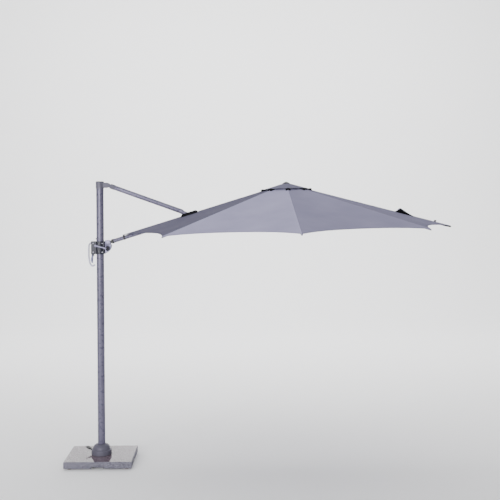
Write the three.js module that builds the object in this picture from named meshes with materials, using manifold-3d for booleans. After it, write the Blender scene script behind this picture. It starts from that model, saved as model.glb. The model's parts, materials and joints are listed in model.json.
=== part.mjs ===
// A cantilever parasol: granite base, turning mast, sliding carriage, strut, beam and folding canopy.
// Millimetres, +Z up. The origin is on the ground, on the axis of the mast, and +X points to the canopy.
// The beam is the eighth rib of the canopy: the hub is hinged to its outer end.

import * as THREE from 'three';
import { mergeVertices } from 'three/addons/utils/BufferGeometryUtils.js';
import Module from 'manifold-3d';

const wasm = await Module();
wasm.setup();
const rad = THREE.MathUtils.degToRad;

// ---------------------------------------------------------------- driving dimensions

const GAP = 0.3; // between pieces that touch
const PIN_PLAY = 0.35; // round a pin in its hole

const FOOT_HEIGHT = 12;
const SLAB_WIDTH = 580; // along X
const SLAB_DEPTH = 520; // along Y
const SLAB_THICK = 58;
const SLAB_CHAMFER = 2.5;
const FOOT_INSET = 45; // from the slab's edges to the axis of a foot
const FLANGE_RADIUS = 78;
const FLANGE_THICK = 10;
const BOLT_CIRCLE = 58;
const SPIGOT_RADIUS = 26;
const SPIGOT_TOP = 420;

const MAST_RADIUS = 32.5;
const MAST_WALL = 2;
const MAST_BOTTOM = 98;
const MAST_TOP = 2420;
const HEAD_TOP = 2461;

const PIVOT_X = 68; // the strut's and the beam's pivots, ahead of the mast's axis
const HEAD_PIVOT_Z = 2437;
const ROOT_PIVOT_Z = 1934;
const LINK = 748; // head pivot to saddle pin, and saddle pin to root pivot
const HEAD_PIN_RADIUS = 7;
const SADDLE_PIN_RADIUS = 5;
const ROOT_BOLT_RADIUS = 6;

const APEX = { x: 1628, z: 2451 }; // where the planes of the canopy meet
const CANOPY_TILT = 1.6; // the far side is higher
const RIB_SLOPE = 15.8;
const SIDES = 8;
const SLOPE_RADIUS = 1505; // of the cloth, from the apex to a corner
const SCALLOP = 90; // depth of the curved edge between two corners
const CLOTH = 1.2;
const VENT_RADIUS = 170;
const VENT_CAP_RADIUS = 202;
const HINGE_RADIUS = 60; // of the ribs' pins, round the hub's axis
const HINGE_DROP = 32.6; // below the apex
const STRETCHER = 480; // rib's pin to stretcher's pin, and the stretcher's own length
const RIB_LENGTH = 1442;
const PIN_RADIUS = 4; // at both ends of the stretchers
const PIN_SIDES = 8;

const BEAM_RADIUS = 17;
const BEAM_WALL = 2;
const BEAM_SLOPE = RIB_SLOPE + CANOPY_TILT;

const CARRIAGE_BOTTOM = 1836;
const CARRIAGE_TOP = 1948;
const CARRIAGE_BACK = -76; // along X, the side away from the canopy
const CARRIAGE_FRONT = 43;
const CRANK_AT = { x: -33, z: 1909 };
const CRANK_LENGTH = 90;
const CRANK_DROOP = 14;

// ---------------------------------------------------------------- places worked out from them

const HOLE_RADIUS = PIN_RADIUS + 2 * PIN_PLAY; // a hole with few sides is narrower between its corners
const SLAB_TOP = FOOT_HEIGHT + SLAB_THICK;
const FLANGE_TOP = SLAB_TOP + GAP + FLANGE_THICK;
const STRUT_SLOPE = THREE.MathUtils.radToDeg(Math.asin((HEAD_PIVOT_Z - ROOT_PIVOT_Z) / 2 / LINK));
const SADDLE = {
  x: PIVOT_X + LINK * Math.cos(rad(STRUT_SLOPE)),
  z: (HEAD_PIVOT_Z + ROOT_PIVOT_Z) / 2,
};
const RUNNER_DROP = HINGE_DROP + 2 * STRETCHER * Math.sin(rad(RIB_SLOPE));

/** The point (x, z) seen from a frame at origin whose X axis rises by slope degrees. */
function seenFrom(origin, slope, point) {
  const [dx, dz] = [point.x - origin.x, point.z - origin.z];
  const [c, s] = [Math.cos(rad(slope)), Math.sin(rad(slope))];
  return { x: dx * c + dz * s, z: dz * c - dx * s };
}

/** The point (x, z) of a frame at origin whose X axis rises by slope degrees, seen from outside. */
function seenOutside(origin, slope, point) {
  const [c, s] = [Math.cos(rad(slope)), Math.sin(rad(slope))];
  return { x: origin.x + point.x * c - point.z * s, z: origin.z + point.x * s + point.z * c };
}

const ROOT = { x: PIVOT_X, z: ROOT_PIVOT_Z };
const HUB_HINGE = seenOutside(APEX, CANOPY_TILT, { x: -HINGE_RADIUS, z: -HINGE_DROP });
const HUB_HINGE_ON_BEAM = seenFrom(ROOT, BEAM_SLOPE, HUB_HINGE);
const SADDLE_ON_BEAM = seenFrom(ROOT, BEAM_SLOPE, SADDLE);
const SADDLE_ON_HUB = seenFrom(APEX, CANOPY_TILT, SADDLE);

// ---------------------------------------------------------------- materials

function finish(color, roughness, metalness) {
  return new THREE.MeshStandardMaterial({ color, roughness, metalness });
}

const anthracite = finish(0x6f6d7a, 0.4, 0.6);
const darkMetal = finish(0x3c3d44, 0.45, 0.5);
const silver = finish(0xb8b8c4, 0.3, 0.8);
const steel = finish(0x9a9aa0, 0.35, 0.9);
const blackPlastic = finish(0x2a2b30, 0.3, 0);
const triggerPlastic = finish(0x63648a, 0.4, 0);
const bushPlastic = finish(0xd8d8d2, 0.6, 0);
const rubber = finish(0x222222, 0.9, 0);
const granite = finish(0xaba6ad, 0.15, 0);
const cloth = finish(0x93919f, 0.95, 0);

// ---------------------------------------------------------------- shapes

/** A closed three.js geometry as a manifold solid. */
function solid(geometry) {
  const bare = geometry.clone();
  bare.deleteAttribute('normal');
  bare.deleteAttribute('uv');
  const merged = mergeVertices(bare, 1e-3);
  const index = merged.index.array;
  const kept = [];
  for (let i = 0; i < index.length; i += 3) {
    const [a, b, c] = [index[i], index[i + 1], index[i + 2]];
    if (a !== b && b !== c && c !== a) kept.push(a, b, c);
  }
  const vertProperties = Float32Array.from(merged.attributes.position.array);
  return new wasm.Manifold(
    new wasm.Mesh({ numProp: 3, vertProperties, triVerts: Uint32Array.from(kept) }),
  );
}

/** The geometry of a manifold solid. */
function geometryOf(body) {
  const { vertProperties, triVerts } = body.getMesh();
  const geometry = new THREE.BufferGeometry();
  geometry.setAttribute('position', new THREE.BufferAttribute(vertProperties, 3));
  geometry.setIndex(new THREE.BufferAttribute(triVerts, 1));
  geometry.computeVertexNormals();
  return geometry;
}

function join(...geometries) {
  return geometryOf(geometries.map(solid).reduce((whole, next) => whole.add(next)));
}

function cut(geometry, ...cutters) {
  return geometryOf(cutters.map(solid).reduce((whole, next) => whole.subtract(next), solid(geometry)));
}

/** The other hand of an indexed geometry: y becomes -y, and the faces still point out. */
function mirroredY(geometry) {
  const mirrored = geometry.clone().scale(1, -1, 1);
  const index = mirrored.index.array;
  for (let i = 0; i < index.length; i += 3) [index[i], index[i + 1]] = [index[i + 1], index[i]];
  return mirrored;
}

function box(x0, x1, y0, y1, z0, z1) {
  const geometry = new THREE.BoxGeometry(x1 - x0, y1 - y0, z1 - z0);
  return geometry.translate((x0 + x1) / 2, (y0 + y1) / 2, (z0 + z1) / 2);
}

/** A cylinder along Y from y0 to y1, at x, z. */
function rodY(radius, y0, y1, x = 0, z = 0, sides = 12) {
  return new THREE.CylinderGeometry(radius, radius, y1 - y0, sides).translate(x, (y0 + y1) / 2, z);
}

/** A cylinder along X from x0 to x1, at y, z. */
function rodX(radius, x0, x1, y = 0, z = 0, sides = 12) {
  const geometry = new THREE.CylinderGeometry(radius, radius, x1 - x0, sides);
  return geometry.rotateZ(Math.PI / 2).translate((x0 + x1) / 2, y, z);
}

/** A cylinder along Z from z0 to z1, at x, y. */
function rodZ(radius, z0, z1, x = 0, y = 0, sides = 12) {
  const geometry = new THREE.CylinderGeometry(radius, radius, z1 - z0, sides);
  return geometry.rotateX(Math.PI / 2).translate(x, y, (z0 + z1) / 2);
}

/** A turned piece about Z: its profile is a list of [radius, height], anticlockwise. */
function turned(profile, sides = 24) {
  const points = profile.map(([radius, height]) => new THREE.Vector2(radius, height));
  if (profile[0][0] > 0) points.push(points[0].clone());
  return new THREE.LatheGeometry(points, sides).rotateX(Math.PI / 2);
}

/** A pipe along X. */
function pipeX(radius, wall, x0, x1, sides = 16) {
  const inner = radius - wall;
  const profile = [[inner, x0], [radius, x0], [radius, x1], [inner, x1]];
  return turned(profile, sides).rotateY(Math.PI / 2);
}

/** An outline of [x, z] points, extruded along Y from y0 to y1. */
function plateXZ(outline, y0, y1) {
  const shape = new THREE.Shape(outline.map(([x, z]) => new THREE.Vector2(x, z)));
  return shapeXZ(shape, y0, y1);
}

function shapeXZ(shape, y0, y1) {
  const depth = y1 - y0;
  const geometry = new THREE.ExtrudeGeometry(shape, { depth, bevelEnabled: false, curveSegments: 6 });
  return geometry.rotateX(Math.PI / 2).translate(0, y1, 0);
}

/** The outline of a straight bar along X with round ends, in the XZ plane. */
function roundBar(x0, x1, half) {
  const shape = new THREE.Shape();
  shape.moveTo(x0, -half);
  shape.lineTo(x1, -half);
  shape.absarc(x1, 0, half, -Math.PI / 2, Math.PI / 2, false);
  shape.lineTo(x0, half);
  shape.absarc(x0, 0, half, Math.PI / 2, Math.PI * 1.5, false);
  return shape;
}

function mesh(name, geometry, material) {
  const piece = new THREE.Mesh(geometry, material);
  piece.name = name;
  return piece;
}

/** A group at (x, 0, z) whose X axis falls by fall degrees. */
function frameAt(x, z, fall = 0) {
  const group = new THREE.Group();
  group.position.set(x, 0, z);
  group.rotation.y = rad(fall);
  return group;
}

// ---------------------------------------------------------------- base

function graniteSlab() {
  const halfX = SLAB_WIDTH / 2 - SLAB_CHAMFER;
  const halfY = SLAB_DEPTH / 2 - SLAB_CHAMFER;
  const shape = new THREE.Shape();
  shape.moveTo(-halfX, -halfY);
  shape.lineTo(halfX, -halfY);
  shape.lineTo(halfX, halfY);
  shape.lineTo(-halfX, halfY);
  shape.closePath();
  const slab = new THREE.ExtrudeGeometry(shape, {
    depth: SLAB_THICK - 2 * SLAB_CHAMFER,
    bevelSize: SLAB_CHAMFER,
    bevelThickness: SLAB_CHAMFER,
    bevelSegments: 1,
  }).translate(0, 0, FOOT_HEIGHT + SLAB_CHAMFER);
  const low = FOOT_HEIGHT - 1;
  const gripOutline = [[-58, low], [48, low], [48, low + 21], [-44, low + 21]];
  const handHolds = [SLAB_DEPTH, SLAB_WIDTH, SLAB_DEPTH, SLAB_WIDTH].map((across, side) =>
    plateXZ(gripOutline, -across / 2 - 1, -across / 2 + 34).rotateZ((side * Math.PI) / 2),
  );
  const boltHoles = boltPlaces().map(([x, y]) => rodZ(6.5, low, SLAB_TOP + 1, x, y, 8));
  const studHoles = footPlaces().map(([x, y]) => rodZ(5.9, low, 42, x, y, 8));
  return cut(slab, ...handHolds, ...boltHoles, ...studHoles);
}

function footPlaces() {
  const [x, y] = [SLAB_WIDTH / 2 - FOOT_INSET, SLAB_DEPTH / 2 - FOOT_INSET];
  return [[-x, -y], [x, -y], [x, y], [-x, y]];
}

function boltPlaces() {
  const place = BOLT_CIRCLE / Math.SQRT2;
  return [[-place, -place], [place, -place], [place, place], [-place, place]];
}

function levellingFoot() {
  const top = FOOT_HEIGHT - GAP;
  return turned([[0, 0], [18, 0], [20, 2], [20, 7], [13, top], [5, top], [5, 36], [0, 36]], 12);
}

function counterPlate() {
  const top = FOOT_HEIGHT - GAP;
  return cut(
    rodZ(80, top - 6, top, 0, 0, 24),
    ...boltPlaces().map(([x, y]) => rodZ(5.6, 0, top + 1, x, y, 8)),
  );
}

function spigotFlange() {
  const bottom = SLAB_TOP + GAP;
  const bore = SPIGOT_RADIUS - 4;
  const profile = [
    [bore, bottom], [FLANGE_RADIUS, bottom], [FLANGE_RADIUS, FLANGE_TOP],
    [SPIGOT_RADIUS, FLANGE_TOP], [SPIGOT_RADIUS, SPIGOT_TOP], [bore, SPIGOT_TOP],
  ];
  const boltHoles = boltPlaces().map(([x, y]) => rodZ(5.7, bottom - 1, FLANGE_TOP + 1, x, y, 8));
  return cut(turned(profile), ...boltHoles);
}

function flangeBolt() {
  const seat = FLANGE_TOP + GAP;
  return join(rodZ(5, 6.5, seat + 1, 0, 0, 8), rodZ(8.5, seat, seat + 6.5, 0, 0, 6));
}

function makeBase() {
  const base = new THREE.Group();
  base.add(mesh('granite_slab', graniteSlab(), granite));
  base.add(mesh('counter_plate', counterPlate(), steel));
  base.add(mesh('spigot_flange', spigotFlange(), steel));
  footPlaces().forEach(([x, y], i) => {
    const foot = mesh(`levelling_foot_${i + 1}`, levellingFoot(), rubber);
    foot.position.set(x, y, 0);
    base.add(foot);
  });
  boltPlaces().forEach(([x, y], i) => {
    const bolt = mesh(`flange_bolt_${i + 1}`, flangeBolt(), steel);
    bolt.position.set(x, y, 0);
    base.add(bolt);
  });
  return base;
}

// ---------------------------------------------------------------- mast, foot housing and pedal

const PEDAL_BEARING = 162; // degrees round the mast, from +X
const PEDAL_PIN = { x: 77, z: 97 };
const STOP_SCREW_Z = 1970;

function mastTube() {
  const bore = MAST_RADIUS - MAST_WALL;
  const screwHole = rodX(3.6, -MAST_RADIUS - 2, -bore + 6, 0, STOP_SCREW_Z, 8);
  return cut(collar(bore, MAST_RADIUS, MAST_BOTTOM, MAST_TOP), screwHole);
}

function swivelBush() {
  const [bore, outside] = [SPIGOT_RADIUS + GAP, MAST_RADIUS - MAST_WALL - GAP];
  const [seat, shoulder, top] = [FLANGE_TOP + 0.5, MAST_BOTTOM - GAP, 330];
  const rim = 36;
  return turned([
    [bore, seat], [rim, seat], [rim, shoulder], [outside, shoulder], [outside, top], [bore, top],
  ]);
}

function footHousing() {
  const bore = MAST_RADIUS + 0.5;
  const outside = [
    [88.5, 71], [88.5, 107], [86, 112], [75, 114], [74, 128], [67, 146], [52, 157], [36, 161],
  ];
  const inside = [
    [bore, 161], [bore, 157], [50, 153], [64, 143], [71, 127], [71, 111], [85.5, 108], [85.5, 71],
  ];
  const pedalSlot = box(80, 95, -14, 14, 86, 107).rotateZ(rad(PEDAL_BEARING));
  return cut(turned([...outside, ...inside]), pedalSlot);
}

/** The pedal in its own frame: the pin is at the origin and the tread points along +X. */
function footPedal() {
  const lever = [[-8, -6], [6, -7], [56, 16], [62, 24], [50, 22], [4, 6], [-8, 6]];
  const tread = [[34, 6], [56, 16], [68, 26], [66, 30], [50, 22], [32, 13]];
  return cut(join(plateXZ(lever, -12, 12), plateXZ(tread, -20, 20)), rodY(4.2, -30, 30));
}

function mastHead() {
  const bore = MAST_RADIUS + GAP;
  const cheekOutline = [
    [0, 2412], [62, 2414], [78, 2418], [87, 2430], [87, 2444], [80, 2454], [66, 2458], [0, 2458],
  ];
  const cheeks = [plateXZ(cheekOutline, -22, -15), plateXZ(cheekOutline, 15, 22)];
  const roof = turned([[0, 2430], [36, 2430], [36, HEAD_TOP], [0, HEAD_TOP]]);
  return cut(
    join(roof, collar(bore, 36, 2408, 2431), ...cheeks),
    rodZ(bore, 2400, 2430, 0, 0, 24),
    rodY(HEAD_PIN_RADIUS + PIN_PLAY, -30, 30, PIVOT_X, HEAD_PIVOT_Z),
  );
}

/** A ring about Z. */
function collar(bore, radius, z0, z1, sides = 24) {
  return turned([[bore, z0], [radius, z0], [radius, z1], [bore, z1]], sides);
}

/** A pin along Y with a flat head at each end. */
function headedPin(radius, headRadius, halfLength, headThick) {
  const outer = halfLength + headThick;
  return join(
    rodY(radius, -halfLength - 1, halfLength + 1),
    rodY(headRadius, -outer, -halfLength),
    rodY(headRadius, halfLength, outer),
  );
}

function stopScrew() {
  const head = -MAST_RADIUS - GAP;
  return join(rodX(3, head - 1, -28, 0, 0, 8), rodX(6, head - 6, head));
}

function makeMast() {
  const mast = new THREE.Group();
  mast.add(mesh('mast_tube', mastTube(), anthracite));
  mast.add(mesh('swivel_bush', swivelBush(), bushPlastic));
  mast.add(mesh('foot_housing', footHousing(), darkMetal));
  mast.add(mesh('mast_head', mastHead(), darkMetal));
  const capProfile = [[0, HEAD_TOP + GAP], [37, HEAD_TOP + GAP], [37, HEAD_TOP + 4], [32, 2469], [0, 2469]];
  mast.add(mesh('head_cap', turned(capProfile), blackPlastic));

  const headPin = mesh('head_pin', headedPin(HEAD_PIN_RADIUS, 10, 22 + GAP, 3.5), steel);
  headPin.position.set(PIVOT_X, 0, HEAD_PIVOT_Z);
  const screw = mesh('stop_screw', stopScrew(), blackPlastic);
  screw.position.z = STOP_SCREW_Z;
  mast.add(headPin, screw);

  const bearing = new THREE.Group();
  bearing.rotation.z = rad(PEDAL_BEARING);
  const hinge = frameAt(PEDAL_PIN.x, PEDAL_PIN.z);
  hinge.add(mesh('foot_pedal', footPedal(), blackPlastic));
  hinge.add(mesh('pedal_pin', rodY(3.8, -17, 17), steel));
  bearing.add(hinge);
  mast.add(bearing);
  return mast;
}

// ---------------------------------------------------------------- strut

const STRUT_HALF_HEIGHT = 20;
const STRUT_HALF_WIDTH = 13;
const STRUT_TUBE_END = 669;

/** An oval bar along X. */
function ovalBar(halfHeight, halfWidth, x0, x1) {
  const bar = rodX(1, x0, x1, 0, 0, 16);
  return bar.scale(1, halfWidth, halfHeight);
}

function strutTube() {
  const tube = cut(
    ovalBar(STRUT_HALF_HEIGHT, STRUT_HALF_WIDTH, 44, STRUT_TUBE_END),
    ovalBar(STRUT_HALF_HEIGHT - 2, STRUT_HALF_WIDTH - 2, 64, STRUT_TUBE_END + 1),
  );
  const neck = box(0, 46, -11, 11, -15, 15);
  const eye = rodY(17, -14.7, 14.7, 0, 0, 16);
  return cut(join(tube, neck, eye), rodY(HEAD_PIN_RADIUS + PIN_PLAY, -30, 30));
}

function strutKnuckle() {
  const wall = 2 + GAP;
  const start = STRUT_TUBE_END;
  const plug = ovalBar(STRUT_HALF_HEIGHT - wall, STRUT_HALF_WIDTH - wall, start - 41, start + 2);
  const flange = ovalBar(STRUT_HALF_HEIGHT + 1, STRUT_HALF_WIDTH + 1, start + GAP, start + 16);
  const neck = box(start + 10, LINK, -12.5, 12.5, -11.5, 11.5);
  const eye = rodY(11.5, -12.7, 12.7, LINK);
  return cut(join(plug, flange, neck, eye), rodY(SADDLE_PIN_RADIUS + PIN_PLAY, -30, 30, LINK));
}

function makeStrut() {
  const strut = frameAt(PIVOT_X, HEAD_PIVOT_Z, STRUT_SLOPE);
  strut.add(mesh('strut_tube', strutTube(), anthracite));
  strut.add(mesh('strut_knuckle', strutKnuckle(), silver));
  const pin = mesh('saddle_pin', headedPin(SADDLE_PIN_RADIUS, 8, 18.5 + GAP, 3), steel);
  pin.position.x = LINK;
  strut.add(pin);
  return strut;
}

// ---------------------------------------------------------------- beam

const BEAM_START = 54;
const BEAM_END = 1538;

function beamTube() {
  const end = HUB_HINGE_ON_BEAM;
  const fitting = join(
    rodX(BEAM_RADIUS - 1, BEAM_END - 40, BEAM_END, 0, 0, 16),
    box(BEAM_END - 10, end.x, -5, 5, end.z - 10.5, end.z + 7),
    rodY(8, -5, 5, end.x, end.z),
  );
  const tube = pipeX(BEAM_RADIUS, BEAM_WALL, BEAM_START, BEAM_END);
  return cut(join(tube, fitting), rodY(HOLE_RADIUS, -9, 9, end.x, end.z, PIN_SIDES));
}

function beamRoot() {
  const plugRadius = BEAM_RADIUS - BEAM_WALL - GAP;
  return cut(
    join(
      rodY(16, -15.2, 15.2, 0, 0, 16),
      box(0, 38, -14, 14, -13, 13),
      rodX(20, 36, BEAM_START - GAP, 0, 0, 16),
      rodX(plugRadius, 50, 96, 0, 0, 16),
    ),
    rodY(ROOT_BOLT_RADIUS + PIN_PLAY, -30, 30),
  );
}

/** The clamp round the beam whose two ears hold the strut's lower pin. */
function beamSaddle() {
  const { x, z } = SADDLE_ON_BEAM;
  const ring = rodX(BEAM_RADIUS + 4.5, x - 36, x + 36, 0, 0, 16);
  const ear = [
    [x - 20, 0], [x + 20, 0], [x + 11, z + 6], [x + 6, z + 10], [x - 6, z + 10], [x - 11, z + 6],
  ];
  return cut(
    join(ring, plateXZ(ear, -18.5, -13), plateXZ(ear, 13, 18.5)),
    rodX(BEAM_RADIUS + GAP, x - 60, x + 60, 0, 0, 16),
    box(x - 24, x + 30, -13, 13, 4, z + 30),
    rodY(SADDLE_PIN_RADIUS + PIN_PLAY, -30, 30, x, z),
  );
}

/** The clamp round the beam whose two stubs carry the beam stretcher. */
function beamClamp() {
  const [x, z] = [HUB_HINGE_ON_BEAM.x - STRETCHER, HUB_HINGE_ON_BEAM.z];
  return cut(
    join(rodX(BEAM_RADIUS + 4, x - 14, x + 14, 0, 0, 16), rodY(PIN_RADIUS, -28, 28, x, z, PIN_SIDES)),
    rodX(BEAM_RADIUS + GAP, x - 30, x + 30, 0, 0, 16),
  );
}

function makeBeam() {
  const beam = frameAt(ROOT.x, ROOT.z, -BEAM_SLOPE);
  beam.add(mesh('beam_tube', beamTube(), anthracite));
  beam.add(mesh('beam_root', beamRoot(), blackPlastic));
  beam.add(mesh('beam_saddle', beamSaddle(), darkMetal));
  beam.add(mesh('beam_clamp', beamClamp(), darkMetal));
  return beam;
}

// ---------------------------------------------------------------- carriage, trigger and crank

const SHELL_BORE = 37.3;
const SHELL_FACE = 42; // half the carriage's thickness across Y
const BULGE_RADIUS = 52;
const SCREW_HEAD_RADIUS = 6;
const SCREW_PLACES = [[-55, 1929], [24, 1929], [-55, 1853], [24, 1853]];
const TRIGGER_PIN = { x: -64, z: 1825 };

/** Half of the carriage's casing, on the side of -Y. */
function halfShell() {
  const bulge = Math.asin(SHELL_FACE / BULGE_RADIUS);
  const shape = new THREE.Shape();
  shape.moveTo(CARRIAGE_BACK, -GAP);
  shape.lineTo(CARRIAGE_BACK, -SHELL_FACE + 10);
  shape.quadraticCurveTo(CARRIAGE_BACK, -SHELL_FACE, CARRIAGE_BACK + 10, -SHELL_FACE);
  shape.absarc(0, 0, BULGE_RADIUS, -Math.PI + bulge, -bulge, false);
  shape.lineTo(CARRIAGE_FRONT - 6, -SHELL_FACE);
  shape.lineTo(CARRIAGE_FRONT, -SHELL_FACE + 6);
  shape.lineTo(CARRIAGE_FRONT, -GAP);
  shape.absarc(0, 0, SHELL_BORE, -0.01, -Math.PI + 0.01, true);
  shape.closePath();
  const casing = new THREE.ExtrudeGeometry(shape, {
    depth: CARRIAGE_TOP - CARRIAGE_BOTTOM,
    bevelEnabled: false,
    curveSegments: 10,
  }).translate(0, 0, CARRIAGE_BOTTOM);
  const lugOutline = [[-74, CARRIAGE_BOTTOM + 1], [-74, 1818], [-54, 1818], [-54, CARRIAGE_BOTTOM + 1]];
  const lug = plateXZ(lugOutline, -15, -9);
  return cut(join(casing, lug), rodY(3.6, -20, 0, TRIGGER_PIN.x, TRIGGER_PIN.z, 10));
}

function frontShell() {
  const shaftHole = rodY(5.4, -60, -SHELL_FACE + 6, CRANK_AT.x, CRANK_AT.z);
  const screwHoles = SCREW_PLACES.map(([x, z]) => rodY(3, -SHELL_FACE - 12, -SHELL_FACE + 10, x, z, 8));
  return cut(halfShell(), shaftHole, ...screwHoles);
}

function rearShell() {
  return mirroredY(halfShell());
}

function slideLiner() {
  return collar(MAST_RADIUS + 0.7, SHELL_BORE - GAP, CARRIAGE_BOTTOM + 2, CARRIAGE_TOP - 2);
}

/** Two curved cheeks that hold the beam's root, on a back plate. */
function pivotBracket() {
  const cheek = new THREE.Shape();
  const back = CARRIAGE_FRONT + GAP;
  cheek.moveTo(back, 1843);
  cheek.lineTo(58, 1846);
  cheek.bezierCurveTo(82, 1862, 100, 1884, 101, 1914);
  cheek.lineTo(91, 1926);
  cheek.absarc(PIVOT_X, ROOT_PIVOT_Z, 24, -0.3, Math.PI / 2, false);
  cheek.lineTo(back, 1956);
  cheek.closePath();
  return cut(
    join(
      shapeXZ(cheek, -22, -15.6),
      shapeXZ(cheek, 15.6, 22),
      box(back, back + 5, -22, 22, 1843, 1956),
    ),
    rodY(ROOT_BOLT_RADIUS + PIN_PLAY, -30, 30, PIVOT_X, ROOT_PIVOT_Z),
  );
}

/** The curved bar behind the mast that a hand holds: an oval section swept down and hooked forward. */
function gripHandle() {
  const route = [
    [-77.2, 1930], [-86, 1929], [-98, 1908], [-100, 1850],
    [-98, 1795], [-88, 1750], [-68, 1731], [-46, 1741],
  ];
  const path = new THREE.CatmullRomCurve3(route.map(([x, z]) => new THREE.Vector3(x, 0, z)));
  const section = new THREE.Shape();
  section.absellipse(0, 0, 10, 7, 0, Math.PI * 2, false, 0);
  return new THREE.ExtrudeGeometry(section, {
    steps: 20,
    curveSegments: 5,
    extrudePath: path,
    bevelEnabled: false,
  });
}

/** The trigger in its own frame: its axle is at the origin. */
function triggerLever() {
  const outline = [
    [-6, 6], [5, 6], [6, -6], [-2, -24], [-7, -46], [2, -66], [-2, -70], [-12, -66], [-20, -42], [-14, -16],
  ];
  return join(plateXZ(outline, -8.4, 8.4), rodY(3, -14, 14, 0, 0, 8));
}

/** How far the casing reaches from the mast's axis behind the head of a screw at x. */
function shellFaceBehind(x) {
  const nearest = Math.abs(x) - SCREW_HEAD_RADIUS;
  return Math.max(SHELL_FACE, Math.sqrt(Math.max(0, BULGE_RADIUS ** 2 - nearest ** 2)));
}

/** A pan-head screw along Y; its head is on the side of -Y. */
function casingScrew() {
  return join(rodY(2.4, -1, 9, 0, 0, 8), rodY(SCREW_HEAD_RADIUS, -4, 0));
}

/** The crank in its own frame: its shaft is at the origin and the arm points along +X. */
function crankArm() {
  return join(
    rodY(5, -60, -SHELL_FACE + 5),
    rodY(11, -66, -BULGE_RADIUS - 1, 0, 0, 16),
    shapeXZ(roundBar(0, CRANK_LENGTH, 8), -66, -60),
    rodY(3, -90, -63, CRANK_LENGTH, 0, 8),
  );
}

function crankKnob() {
  const [near, far] = [66 + GAP, 99];
  const profile = [
    [3.5, near], [8, near], [10, near + 6], [10, far - 8], [7, far], [0, far], [0, 92], [3.5, 92],
  ];
  return turned(profile, 12).rotateX(Math.PI / 2);
}

function makeCarriage() {
  const carriage = new THREE.Group();
  carriage.add(mesh('slider_front_shell', frontShell(), blackPlastic));
  carriage.add(mesh('slider_rear_shell', rearShell(), blackPlastic));
  carriage.add(mesh('slide_liner', slideLiner(), bushPlastic));
  carriage.add(mesh('pivot_bracket', pivotBracket(), silver));
  carriage.add(mesh('grip_handle', gripHandle(), silver));
  SCREW_PLACES.forEach(([x, z], i) => {
    const screw = mesh(`slider_screw_${i + 1}`, casingScrew(), steel);
    screw.position.set(x, -shellFaceBehind(x) - GAP, z);
    carriage.add(screw);
  });
  const bolt = mesh('pivot_bolt', headedPin(ROOT_BOLT_RADIUS, 11, 22 + GAP, 4), silver);
  bolt.position.set(PIVOT_X, 0, ROOT_PIVOT_Z);
  carriage.add(bolt);

  const trigger = frameAt(TRIGGER_PIN.x, TRIGGER_PIN.z);
  trigger.add(mesh('trigger', triggerLever(), triggerPlastic));
  carriage.add(trigger);

  const crank = frameAt(CRANK_AT.x, CRANK_AT.z, CRANK_DROOP);
  crank.add(mesh('crank_arm', crankArm(), silver));
  const knob = mesh('crank_knob', crankKnob(), silver);
  knob.position.x = CRANK_LENGTH;
  crank.add(knob);
  carriage.add(crank);
  return carriage;
}

// ---------------------------------------------------------------- canopy

const RIB_WIDTH = 14;
const RIB_HEIGHT = 20;
const RIB_WALL = 1.5;
const RIB_TONGUE = 130; // the thin end of a rib, under a corner of the cloth
const CROWN_RADIUS = 46;
const CROWN_TOP = -18;
const CROWN_BOTTOM = -50;
const BEAM_SIDE = SIDES / 2; // the corner whose rib is the beam

/** The outline of the cloth from above: eight corners joined by curves. */
function clothOutline() {
  const corner = SLOPE_RADIUS * Math.cos(rad(RIB_SLOPE));
  const step = (2 * Math.PI) / SIDES;
  const middle = corner * Math.cos(step / 2) - 2 * SCALLOP;
  const shape = new THREE.Shape();
  shape.moveTo(corner, 0);
  for (let side = 0; side < SIDES; side += 1) {
    const [bend, end] = [(side + 0.5) * step, (side + 1) * step];
    shape.quadraticCurveTo(
      middle * Math.cos(bend), middle * Math.sin(bend),
      corner * Math.cos(end), corner * Math.sin(end),
    );
  }
  return shape;
}

function canopyCloth() {
  const fall = Math.tan(rad(RIB_SLOPE));
  const [inner, outer] = [VENT_RADIUS, SLOPE_RADIUS];
  const pyramid = turned([
    [inner, -inner * fall - CLOTH], [outer, -outer * fall - CLOTH],
    [outer, -outer * fall], [inner, -inner * fall],
  ], SIDES);
  const depth = 600; // more than the whole height of the cloth
  const outline = clothOutline();
  const column = new THREE.ExtrudeGeometry(outline, { depth, bevelEnabled: false, curveSegments: 6 });
  const trimmed = solid(pyramid).intersect(solid(column.translate(0, 0, -depth)));
  const { x, z } = SADDLE_ON_HUB;
  return geometryOf(trimmed.subtract(solid(box(x - 34, x + 60, -27, 27, z - 60, z + 60))));
}

function ventCap() {
  const thick = 1.5;
  const profile = [[7, 8], [30, 0], [90, -19], [VENT_CAP_RADIUS, -46]];
  const under = profile.map(([radius, height]) => [radius, height - thick]);
  return turned([...under, ...profile.reverse()], SIDES * 2);
}

/** The crown with a pair of cheeks and a pin for each rib. */
function hubCrown() {
  const cheekOutline = [[40, -44], [60, -44], [68, -38], [68, -27], [62, -21], [40, -21]];
  const fork = join(
    plateXZ(cheekOutline, -9.4, -5.4),
    plateXZ(cheekOutline, 5.4, 9.4),
    rodY(PIN_RADIUS, -9, 9, HINGE_RADIUS, -HINGE_DROP, PIN_SIDES),
  );
  const forks = ribBearings().map((bearing) => fork.clone().rotateZ(rad(bearing)));
  return cut(
    join(rodZ(CROWN_RADIUS, CROWN_BOTTOM, CROWN_TOP, 0, 0, 16), ...forks),
    rodZ(6.6, CROWN_BOTTOM + 6, 0, 0, 0, 12),
  );
}

function ribBearings() {
  return Array.from({ length: SIDES }, (_, i) => (i * 360) / SIDES);
}

function finialKnob() {
  return turned([[0, -40], [6, -40], [6, 9], [15, 9], [16, 12], [12, 17], [0, 18]], 12);
}

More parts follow.
